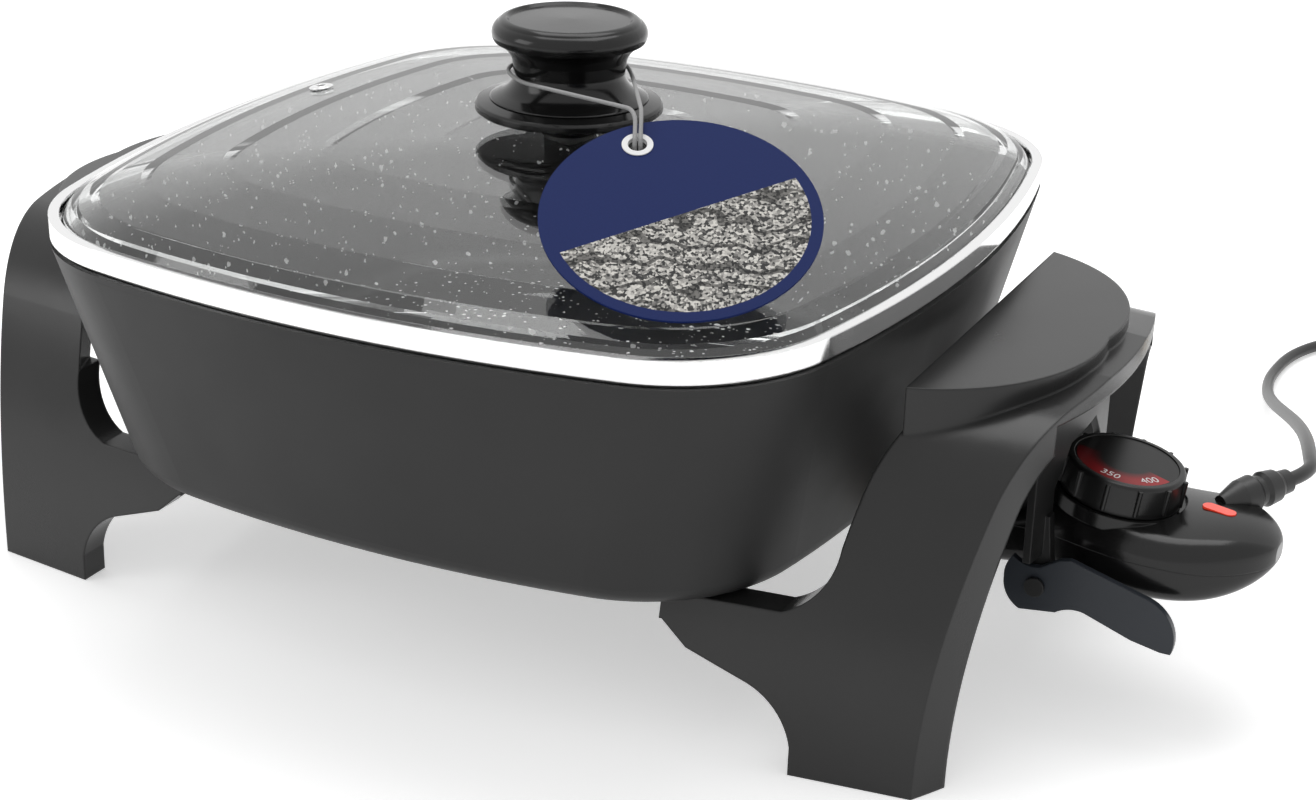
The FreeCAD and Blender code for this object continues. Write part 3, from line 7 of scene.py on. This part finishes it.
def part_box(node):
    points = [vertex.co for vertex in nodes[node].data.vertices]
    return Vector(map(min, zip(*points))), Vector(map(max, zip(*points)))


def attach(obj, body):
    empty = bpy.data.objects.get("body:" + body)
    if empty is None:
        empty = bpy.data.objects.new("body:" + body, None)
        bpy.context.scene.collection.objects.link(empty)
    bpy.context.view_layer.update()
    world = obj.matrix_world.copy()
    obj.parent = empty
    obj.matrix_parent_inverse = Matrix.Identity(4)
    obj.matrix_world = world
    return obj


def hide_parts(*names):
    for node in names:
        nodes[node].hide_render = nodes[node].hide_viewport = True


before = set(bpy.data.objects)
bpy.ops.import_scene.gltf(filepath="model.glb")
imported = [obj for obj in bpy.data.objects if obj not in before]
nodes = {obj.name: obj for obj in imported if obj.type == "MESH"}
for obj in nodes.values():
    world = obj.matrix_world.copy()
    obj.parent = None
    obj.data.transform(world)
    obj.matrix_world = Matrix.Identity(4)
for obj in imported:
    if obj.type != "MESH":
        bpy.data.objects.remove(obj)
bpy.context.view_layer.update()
scene = bpy.context.scene
MM = 0.001

# Camera: its place, turn and small roll, and its lens in pixels of the photograph
PAN_X = -27.75 * MM
CAMERA_PLACE = Vector((PAN_X + 399.2 * MM, -740.5 * MM, 415.5 * MM))
CAMERA_YAW = math.radians(26.0)
CAMERA_PITCH = math.radians(22.8)
CAMERA_ROLL = 0.025
PHOTO_WIDTH = 1316.0
FOCAL_PIXELS = 2441.4
SENSOR_WIDTH = 36.0

# Pan: the heights that part its coating from its paint
PAN_RIM_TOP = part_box("pan")[1].z
PAN_FLOOR_TOP = 59.4 * MM
LIP_DEPTH = 2.0 * MM
FACE_SLACK = 0.5 * MM

# Dial: its tilted axis, its face, and its red band in shares of the face's radius
# and in radians round it
DIAL_TILT = math.radians(8.0)
DIAL_BASE = Vector((PAN_X + 211.8 * MM, 0.0, 73.1 * MM))
DIAL_AXIS = Vector((math.sin(DIAL_TILT), 0.0, math.cos(DIAL_TILT)))
DIAL_FACE_UP = 10.7 * MM
DIAL_FACE_RADIUS = 17.6 * MM
RED_FADES_FROM, RED_FULL_FROM, RED_OUTER = 0.48, 0.74, 0.965
RED_STARTS, RED_FULL_AT, RED_ENDS = -3.1, -0.9, -0.28
NUMBER_SIZE = 4.6 * MM
NUMBER_RADIUS = 0.78 * DIAL_FACE_RADIUS
NUMBER_THICKNESS = 0.03 * MM
NUMBER_LIFT = 0.06 * MM
NUMBERS = (("350", -97), ("400", -40))

# Card: its middle and tilt, and its panel's slanting upper edge in the card's axes
CARD_CENTRE = Vector((PAN_X + 92.5 * MM, -98.9 * MM, 177.0 * MM))
CARD_TILT = math.radians(26.0)
CARD_LEVEL = Vector((0.9, 0.44, 0.0)).normalized()
CARD_RADIUS = 43.8 * MM
CARD_BORDER = 3.8 * MM
CARD_FRONT = 0.4 * MM
PANEL_SLOPE = 0.489
PANEL_TOP = 1.15 * MM

# Lead: the way it leaves the heat control, its route from the pan's centre in
# millimetres, and the coil at its end
RELIEF_BASE = Vector((PAN_X + 243.8 * MM, 10.2 * MM, 70.5 * MM))
RELIEF_WAY = Vector((0.57, 0.815, 0.1)).normalized()
RELIEF_LENGTH = 29.0 * MM
LEAD_RADIUS = 2.5 * MM
LEAD_FIRST = 11.0 * MM
LEAD_ROUTE = (
    (262.0, 61, 72.6), (253.5, 97, 64.4), (241, 143, 50), (228, 186, 35.5), (215, 230, 20.5),
    (204, 270, 8.5), (197.5, 306, 2.7), (200.5, 341, 2.7), (217, 368, 2.9), (244, 379.5, 3.3),
    (272, 375.8, 3.7),
)
COIL_CENTRE = Vector((PAN_X + 300.0 * MM, 345.0 * MM, 0.0))
COIL_RADIUS = 30.5 * MM
COIL_PITCH = 6.4 * MM
COIL_LOW = 3.7 * MM
COIL_TURNS = 2.5
COIL_POINTS_PER_TURN = 14

# Room: what the world lights the object with, what it shows, and the floor
WORLD_LIGHT = 0.62
WORLD_SHOWN = 1.0
FLOOR_LIFT = 0.45
FLOOR_HALF = 6.0
FLOOR_DROP = 0.2 * MM


def make_camera():
    """A camera at the photograph's place that looks along its yaw, pitch and roll."""
    yaw, pitch = CAMERA_YAW, CAMERA_PITCH
    back = Vector((math.sin(yaw) * math.cos(pitch), -math.cos(yaw) * math.cos(pitch),
                   math.sin(pitch)))
    level = Vector((math.cos(yaw), math.sin(yaw), 0.0))
    up = back.cross(level)
    right = math.cos(CAMERA_ROLL) * level + math.sin(CAMERA_ROLL) * up
    above = math.cos(CAMERA_ROLL) * up - math.sin(CAMERA_ROLL) * level
    data = bpy.data.cameras.new("camera")
    data.sensor_width = SENSOR_WIDTH
    data.lens = FOCAL_PIXELS / PHOTO_WIDTH * SENSOR_WIDTH
    data.clip_start, data.clip_end = 0.05, 50.0
    camera = bpy.data.objects.new("camera", data)
    scene.collection.objects.link(camera)
    turn = Matrix((right, above, back)).transposed()
    camera.matrix_world = Matrix.Translation(CAMERA_PLACE) @ turn.to_4x4()
    scene.camera = camera


make_camera()
scene.view_settings.view_transform = "Standard"


# Node trees

class Graph:
    """The node tree of a material or the world, built by naming nodes and their feeds."""

    def __init__(self, owner, out_kind):
        self.owner = owner
        owner.use_nodes = True
        self.tree = owner.node_tree
        self.tree.nodes.clear()
        self.out = self.add(out_kind)

    def feed(self, socket, value):
        if isinstance(value, bpy.types.NodeSocket):
            self.tree.links.new(value, socket)
        else:
            socket.default_value = value

    def add(self, kind, feeds=None, **settings):
        made = self.tree.nodes.new("ShaderNode" + kind)
        for name, value in settings.items():
            setattr(made, name, value)
        for name, value in (feeds or {}).items():
            self.feed(made.inputs[name], value)
        return made

    def math(self, operation, *values):
        made = self.add("Math", operation=operation)
        for socket, value in zip(made.inputs, values):
            self.feed(socket, value)
        return made.outputs[0]

    def spread(self, value, low, high, to_low=0.0, to_high=1.0):
        feeds = {"Value": value, "From Min": low, "From Max": high,
                 "To Min": to_low, "To Max": to_high}
        return self.add("MapRange", feeds).outputs[0]

    def colours(self, factor, first, second):
        """Mix two colours; a Mix node's colour sockets are its seventh and eighth."""
        made = self.add("Mix", {0: factor, 6: first, 7: second}, data_type="RGBA")
        return made.outputs[2]

    def place(self, anchor=None):
        made = self.add("TexCoord")
        if anchor is not None:
            made.object = anchor
        return made.outputs["Object"]

    def noise(self, scale, detail=3.0, place=None, rough=0.5):
        feeds = {"Scale": scale, "Detail": detail, "Roughness": rough,
                 "Vector": place or self.place()}
        return self.add("TexNoise", feeds).outputs["Fac"]

    def distance(self, x, y):
        squares = self.math("ADD", self.math("MULTIPLY", x, x), self.math("MULTIPLY", y, y))
        return self.math("SQRT", squares)

    def bump(self, height, depth, strength=1.0, normal=None):
        feeds = {"Height": height, "Distance": depth, "Strength": strength}
        if normal is not None:
            feeds["Normal"] = normal
        return self.add("Bump", feeds).outputs[0]

    def rounded(self, radius):
        return self.add("Bevel", {"Radius": radius}, samples=4).outputs[0]

    def seen(self):
        """1 for a ray that shows the room itself, in a mirror or through glass."""
        path = self.add("LightPath").outputs
        mirrored = self.math("MAXIMUM", path["Is Glossy Ray"], path["Is Transmission Ray"])
        return self.math("MAXIMUM", mirrored, path["Is Camera Ray"])

    def surface(self, **feeds):
        names = {key.replace("_", " "): value for key, value in feeds.items()}
        return self.add("BsdfPrincipled", names).outputs[0]

    def show(self, shader):
        self.tree.links.new(shader, self.out.inputs[0])
        return self.owner

    def finish(self, **feeds):
        return self.show(self.surface(**feeds))


def new_material(name):
    return Graph(bpy.data.materials.new(name), "OutputMaterial")


def rgb(r, g, b):
    return (r, g, b, 1.0)


def grey(value):
    return (value, value, value, 1.0)


# Materials

def wear(graph, dark, light, scale=14.0):
    """A colour that drifts a little over the surface, as moulded pieces do."""
    drift = graph.spread(graph.noise(scale, 4.0), 0.3, 0.7)
    return graph.colours(drift, dark, light)


def plastic(name, dark, light, rough, grain, depth, edge=0.0):
    """Moulded plastic: a fine spark-eroded grain over a slightly uneven gloss."""
    graph = new_material(name)
    uneven = graph.spread(graph.noise(38.0, 3.0), 0.25, 0.75, rough - 0.035, rough + 0.035)
    normal = graph.rounded(edge) if edge else None
    normal = graph.bump(graph.noise(grain, 2.0), depth, 0.6, normal)
    return graph.finish(
        Base_Color=wear(graph, dark, light), Roughness=uneven, Specular_IOR_Level=0.35,
        Normal=normal,
    )


def metal(name, colour, rough, scratch=0.0, edge=0.0):
    """Metal with a smeared gloss and, where scratch is given, fine long scratches."""
    graph = new_material(name)
    normal = graph.rounded(edge) if edge else None
    smear = graph.spread(graph.noise(60.0, 5.0), 0.3, 0.7, rough * 0.8, rough * 1.3)
    feeds = {"Base_Color": colour, "Metallic": 1.0, "Roughness": smear}
    if scratch:
        long_way = (40.0, 900.0, 900.0)
        stretched = graph.add("Mapping", {"Vector": graph.place(), "Scale": long_way})
        lines = graph.noise(3.0, 4.0, stretched.outputs[0], 0.7)
        normal = graph.bump(lines, scratch, 0.5, normal)
    if normal is not None:
        feeds["Normal"] = normal
    return graph.finish(**feeds)


def speckled_coating():
    """Black non-stick coating with irregular white flecks of three sizes."""
    graph = new_material("speckled_coating")
    place = graph.place()
    wobble = graph.add("TexNoise", {"Scale": 650.0, "Detail": 1.0, "Vector": place})
    reach = (1.6 * MM, 1.6 * MM, 1.6 * MM)
    shift = graph.add("VectorMath", {0: wobble.outputs["Color"], 1: reach}, operation="MULTIPLY")
    bent = graph.add("VectorMath", {0: place, 1: shift.outputs[0]}, operation="ADD").outputs[0]
    flecks = 0.0
    for scale, radius, share in ((150.0, 0.20, 0.90), (260.0, 0.24, 0.50), (420.0, 0.28, 0.30)):
        cells = graph.add("TexVoronoi", {"Scale": scale, "Vector": bent, "Randomness": 1.0})
        chance = graph.add("SeparateColor", {"Color": cells.outputs["Color"]}).outputs
        size = graph.math("MULTIPLY", chance[1], radius)
        there = graph.math("LESS_THAN", chance[0], share)
        inside = graph.math("LESS_THAN", cells.outputs["Distance"], size)
        flecks = graph.math("MAXIMUM", flecks, graph.math("MULTIPLY", inside, there))
    colour = graph.colours(flecks, wear(graph, grey(0.010), grey(0.016)), grey(0.92))
    bumpy = graph.bump(graph.noise(520.0, 3.0), 0.00005, 0.5)
    return graph.finish(Base_Color=colour, Roughness=0.42, Specular_IOR_Level=0.3, Normal=bumpy)


def pan_outside():
    """Charcoal satin paint with a fine powder grain."""
    graph = new_material("pan_paint")
    grain = graph.bump(graph.noise(2600.0, 2.0), 0.00004, 0.55)
    uneven = graph.spread(graph.noise(25.0, 3.0), 0.3, 0.7, 0.44, 0.52)
    colour = wear(graph, grey(0.015), grey(0.020), 9.0)
    return graph.finish(Base_Color=colour, Roughness=uneven, Specular_IOR_Level=0.3, Normal=grain)


def clear_glass():
    graph = new_material("clear_glass")
    return graph.finish(
        Base_Color=rgb(0.975, 0.985, 0.98), Roughness=0.0, IOR=1.46, Transmission_Weight=1.0
    )


def printed_dial(anchor):
    """Black face with a red band that brightens along its arc and fades inwards."""
    graph = new_material("dial_print")
    place = graph.add("SeparateXYZ", {"Vector": graph.place(anchor)}).outputs
    x = graph.math("DIVIDE", place[0], DIAL_FACE_RADIUS)
    y = graph.math("DIVIDE", place[1], DIAL_FACE_RADIUS)
    out = graph.distance(x, y)
    angle = graph.math("ARCTAN2", y, x)
    sweep = graph.spread(angle, RED_STARTS, RED_FULL_AT)
    band = graph.math("MULTIPLY", graph.spread(out, RED_FADES_FROM, RED_FULL_FROM),
                      graph.math("LESS_THAN", out, RED_OUTER))
    arc = graph.math("MULTIPLY", band, graph.math("LESS_THAN", angle, RED_ENDS))
    red = graph.colours(sweep, rgb(0.05, 0.002, 0.003), rgb(0.36, 0.008, 0.012))
    face = graph.colours(graph.noise(900.0, 2.0), grey(0.004), grey(0.007))
    colour = graph.colours(arc, face, red)
    return graph.finish(Base_Color=colour, Roughness=0.28, Specular_IOR_Level=0.2)


def printed_card(anchor):
    """Blue card with a lighter panel of grains and drifting lines."""
    graph = new_material("card_print")
    place = graph.place(anchor)
    x, y, height = graph.add("SeparateXYZ", {"Vector": place}).outputs[:3]
    slant = graph.math("ADD", graph.math("MULTIPLY", x, PANEL_SLOPE), PANEL_TOP)
    low = graph.math("LESS_THAN", y, slant)
    inside = graph.math("LESS_THAN", graph.distance(x, y), CARD_RADIUS - CARD_BORDER)
    front = graph.math("GREATER_THAN", height, CARD_FRONT)
    panel = graph.math("MULTIPLY", graph.math("MULTIPLY", low, inside), front)
    grains = graph.add("TexVoronoi", {"Scale": 1150.0, "Vector": place}).outputs["Color"]
    tone = graph.add("SeparateColor", {"Color": grains}).outputs[0]
    stone = graph.colours(graph.spread(tone, 0.25, 0.9), grey(0.045), rgb(0.66, 0.64, 0.60))
    bend = graph.math("MULTIPLY", graph.noise(55.0, 2.0, place), 16.0)
    wave = graph.math("SINE", graph.math("ADD", graph.math("MULTIPLY", y, 620.0), bend))
    line = graph.math("GREATER_THAN", wave, 0.80)
    stone = graph.colours(graph.math("MULTIPLY", line, 0.75), stone, grey(0.02))
    paper = graph.noise(1400.0, 3.0, place)
    blue = graph.colours(paper, rgb(0.006, 0.015, 0.085), rgb(0.008, 0.020, 0.105))
    colour = graph.colours(panel, blue, stone)
    fibres = graph.bump(paper, 0.00002, 0.6)
    return graph.finish(Base_Color=colour, Roughness=0.55, Specular_IOR_Level=0.1, Normal=fibres)


def glowing_lens():
    graph = new_material("red_lens")
    depth = graph.spread(graph.noise(260.0, 2.0), 0.3, 0.7)
    colour = graph.colours(depth, rgb(0.75, 0.030, 0.012), rgb(0.95, 0.065, 0.025))
    return graph.finish(
        Base_Color=colour, Roughness=0.12, Emission_Color=rgb(0.9, 0.05, 0.02),
        Emission_Strength=0.35, Coat_Weight=0.5,
    )


def rubber(name, value):
    graph = new_material(name)
    ripple = graph.bump(graph.noise(700.0, 3.0), 0.00006, 0.5)
    return graph.finish(
        Base_Color=wear(graph, grey(value), grey(value * 1.5)), Roughness=0.38, Normal=ripple
    )


def fibre(name, colour, other):
    graph = new_material(name)
    twist = graph.noise(2200.0, 2.0)
    return graph.finish(
        Base_Color=graph.colours(twist, colour, other), Roughness=0.85,
        Normal=graph.bump(twist, 0.0002, 0.8),
    )


# Anchors that give the card's and the dial's materials their own axes

def make_anchor(name, centre, turn, body):
    made = bpy.data.objects.new(name, None)
    scene.collection.objects.link(made)
    made.matrix_world = Matrix.Translation(centre) @ turn.to_4x4()
    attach(made, body)
    return made


def card_turn():
    """The card's axes as columns: across it, up it and out of its face."""
    uphill = Vector((-CARD_LEVEL.y, CARD_LEVEL.x, 0.0))
    up = Matrix.Rotation(CARD_TILT, 3, CARD_LEVEL) @ uphill
    return Matrix((CARD_LEVEL, up, CARD_LEVEL.cross(up))).transposed()


card_anchor = make_anchor("card_axes", CARD_CENTRE, card_turn(), "lid")
dial_turn = Matrix.Rotation(DIAL_TILT, 3, "Y")
dial_anchor = make_anchor("dial_axes", DIAL_BASE + DIAL_AXIS * DIAL_FACE_UP, dial_turn, "dial")


# What each CAD node is made of

def dress(names, material):
    for name in names:
        slots = nodes[name].data.materials
        slots.clear()
        slots.append(material)


def dress_pan():
    """Paint outside, coating inside: faces that look at the pan's middle or up from it."""
    pan = nodes["pan"]
    pan.data.materials.clear()
    pan.data.materials.append(pan_outside())
    pan.data.materials.append(speckled_coating())
    middle = Vector((PAN_X, 0.0, 0.0))
    for face in pan.data.polygons:
        out = face.center - middle
        faces_in = face.normal.x * out.x + face.normal.y * out.y < 0.0
        above = face.center.z > PAN_FLOOR_TOP - FACE_SLACK
        floor = face.normal.z > 0.5 and face.center.z < PAN_RIM_TOP - LIP_DEPTH
        face.material_index = 1 if above and (faces_in or floor) else 0


black_rubber = rubber("black_rubber", 0.010)
guard_black = plastic("guard_black", grey(0.006), grey(0.009), rough=0.40, grain=1200.0,
                      depth=0.00003, edge=0.0006)
knob_black = plastic("knob_black", grey(0.004), grey(0.007), rough=0.16, grain=300.0,
                     depth=0.00002, edge=0.0006)
plain_steel = metal("plain_steel", grey(0.50), rough=0.32, scratch=0.00001)

dress(["right_handle", "left_handle"],
      plastic("handle_grey", grey(0.015), grey(0.020), rough=0.24, grain=1500.0, depth=0.00003,
              edge=0.0012))
dress(["socket_guard", "lever_pivot_pin"], guard_black)
dress(["control_top", "control_base"],
      plastic("gloss_black", grey(0.006), grey(0.010), rough=0.20, grain=500.0, depth=0.00003,
              edge=0.0006))
dress(["dial_knob"],
      plastic("dial_black", grey(0.006), grey(0.010), rough=0.30, grain=900.0, depth=0.00003,
              edge=0.0004))
dress(["dial_plate"], printed_dial(dial_anchor))
dress(["lid_knob", "knob_flange", "knob_spacer"], knob_black)
dress(["release_lever"],
      plastic("lever_blue", rgb(0.020, 0.024, 0.031), rgb(0.027, 0.032, 0.040), rough=0.34,
              grain=1200.0, depth=0.00004, edge=0.0007))
dress(["lid_rim", "vent_eyelet"],
      metal("bright_steel", grey(0.86), rough=0.10, scratch=0.000004, edge=0.0007))
dress(["handle_screws", "terminal_pins", "knob_screw", "knob_washer", "thermostat_probe",
       "thermostat_frame", "dial_shaft"], plain_steel)
dress(["heating_element"],
      metal("sheath_steel", rgb(0.20, 0.18, 0.16), rough=0.45, scratch=0.00001))
dress(["terminal_sockets", "contact_strip", "plug_blades"],
      metal("contact_brass", rgb(0.72, 0.52, 0.24), rough=0.28))
dress(["terminal_insulators"],
      plastic("ceramic", grey(0.70), grey(0.76), rough=0.45, grain=900.0, depth=0.00003))
dress(["tag_eyelet"],
      plastic("white_ring", grey(0.72), grey(0.80), rough=0.35, grain=900.0, depth=0.00002))
dress(["indicator_lens", "indicator_lamp"], glowing_lens())
dress(["strain_relief", "plug_body", "cord_tie"], black_rubber)
dress(["hang_tag"], printed_card(card_anchor))
dress(["tag_string"], fibre("grey_string", grey(0.22), grey(0.42)))
dress(["lid_glass"], clear_glass())
dress_pan()
for node in nodes.values():
    node.data.polygons.foreach_set("use_smooth", [True] * len(node.data.polygons))


# Mains lead: the route of the CAD tube and its coil as one smooth line

def coil_points():
    """The coil's turns: inwards on the floor, a step up, and outwards on top of them."""
    points = [COIL_CENTRE + Vector((-2 * LEAD_RADIUS, COIL_RADIUS, COIL_LOW))]
    whole = COIL_TURNS * 2 * math.pi
    level = (whole - math.pi) / 2
    inward = level / (2 * math.pi) * COIL_PITCH
    for i in range(int(COIL_TURNS * COIL_POINTS_PER_TURN) + 1):
        s = i * 2 * math.pi / COIL_POINTS_PER_TURN
        if s < level:
            radius, z = COIL_RADIUS - inward * s / level, COIL_LOW
        elif s > whole - level:
            radius, z = COIL_RADIUS - inward * (whole - s) / level, COIL_LOW + COIL_PITCH
        else:
            share = (s - level) / math.pi
            radius = COIL_RADIUS - inward
            rise = share - math.sin(2 * math.pi * share) / (2 * math.pi)
            z = COIL_LOW + COIL_PITCH * rise
        way = math.pi / 2 - s
        points.append(COIL_CENTRE + Vector((radius * math.cos(way), radius * math.sin(way), z)))
    last = points[-1]
    for beyond in (3.5, 7):
        points.append(last + Vector((-beyond * LEAD_RADIUS, 0.0, 0.0)))
    return points


def lead_points():
    end = RELIEF_BASE + RELIEF_WAY * RELIEF_LENGTH
    route = [Vector((PAN_X + x * MM, y * MM, z * MM)) for x, y, z in LEAD_ROUTE]
    return [end, end + RELIEF_WAY * LEAD_FIRST] + route + coil_points()


def smooth_line(name, points, radius, material):
    data = bpy.data.curves.new(name, "CURVE")
    data.dimensions = "3D"
    spline = data.splines.new("NURBS")
    spline.points.add(len(points) - 1)
    for point, at in zip(spline.points, points):
        point.co = (*at, 1.0)
    spline.order_u = 3
    spline.use_endpoint_u = True
    spline.resolution_u = 10
    data.bevel_depth = radius
    data.bevel_resolution = 6
    data.use_fill_caps = True
    data.materials.append(material)
    made = bpy.data.objects.new(name, data)
    scene.collection.objects.link(made)
    return made


lead = smooth_line("mains_lead", lead_points(), LEAD_RADIUS, black_rubber)
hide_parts("power_cord", "cord_coil")
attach(lead, "control")


def dial_numbers():
    """Plain numbers round the dial's face, each standing on the arc."""
    ink = new_material("dial_ink").finish(Base_Color=grey(0.82), Roughness=0.4)
    for text, degrees in NUMBERS:
        data = bpy.data.curves.new("number_" + text, "FONT")
        data.body = text
        data.size = NUMBER_SIZE
        data.extrude = NUMBER_THICKNESS
        data.align_x, data.align_y = "CENTER", "CENTER"
        data.materials.append(ink)
        made = bpy.data.objects.new("number_" + text, data)
        scene.collection.objects.link(made)
        way = math.radians(degrees)
        at = Vector((NUMBER_RADIUS * math.cos(way), NUMBER_RADIUS * math.sin(way), NUMBER_LIFT))
        on_face = Matrix.Translation(at) @ Matrix.Rotation(way + math.pi / 2, 4, "Z")
        made.matrix_world = dial_anchor.matrix_world @ on_face
        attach(made, "dial")


dial_numbers()


# Room: a pale floor, two soft boxes and a white world

def make_floor():
    """A pale floor that shows white, apart from the object's shadow on it."""
    graph = new_material("floor")
    tone = graph.colours(graph.noise(3.0, 2.0), grey(0.93), grey(0.95))
    strength = graph.math("MULTIPLY", graph.seen(), FLOOR_LIFT)
    lift = graph.add("Emission", {"Color": grey(1.0), "Strength": strength}).outputs[0]
    lit = graph.surface(Base_Color=tone, Roughness=0.6)
    material = graph.show(graph.add("AddShader", {0: lit, 1: lift}).outputs[0])
    mesh = bpy.data.meshes.new("floor")
    ways = ((-1, -1), (1, -1), (1, 1), (-1, 1))
    corners = [(x * FLOOR_HALF, y * FLOOR_HALF, -FLOOR_DROP) for x, y in ways]
    mesh.from_pydata(corners, [], [(0, 1, 2, 3)])
    mesh.materials.append(material)
    floor = bpy.data.objects.new("floor", mesh)
    scene.collection.objects.link(floor)


def make_world():
    graph = Graph(bpy.data.worlds.new("studio"), "OutputWorld")
    strength = graph.spread(graph.seen(), 0.0, 1.0, WORLD_LIGHT, WORLD_SHOWN)
    light = graph.add("Background", {"Color": grey(1.0), "Strength": strength})
    scene.world = graph.show(light.outputs[0])


def soft_box(name, place, width, depth, power):
    """A rectangular lamp that looks at the middle of the pan."""
    data = bpy.data.lights.new(name, "AREA")
    data.shape = "RECTANGLE"
    data.size, data.size_y = width, depth
    data.energy = power
    made = bpy.data.objects.new(name, data)
    scene.collection.objects.link(made)
    made.location = place
    away = Vector(place) - Vector((0.0, 0.0, 0.08))
    made.rotation_euler = away.to_track_quat("Z", "Y").to_euler()


make_floor()
make_world()
soft_box("overhead", (-0.1, 0.35, 1.5), width=1.3, depth=0.9, power=10.0)
soft_box("front_left", (-1.3, -1.2, 0.9), width=0.8, depth=0.8, power=5.0)
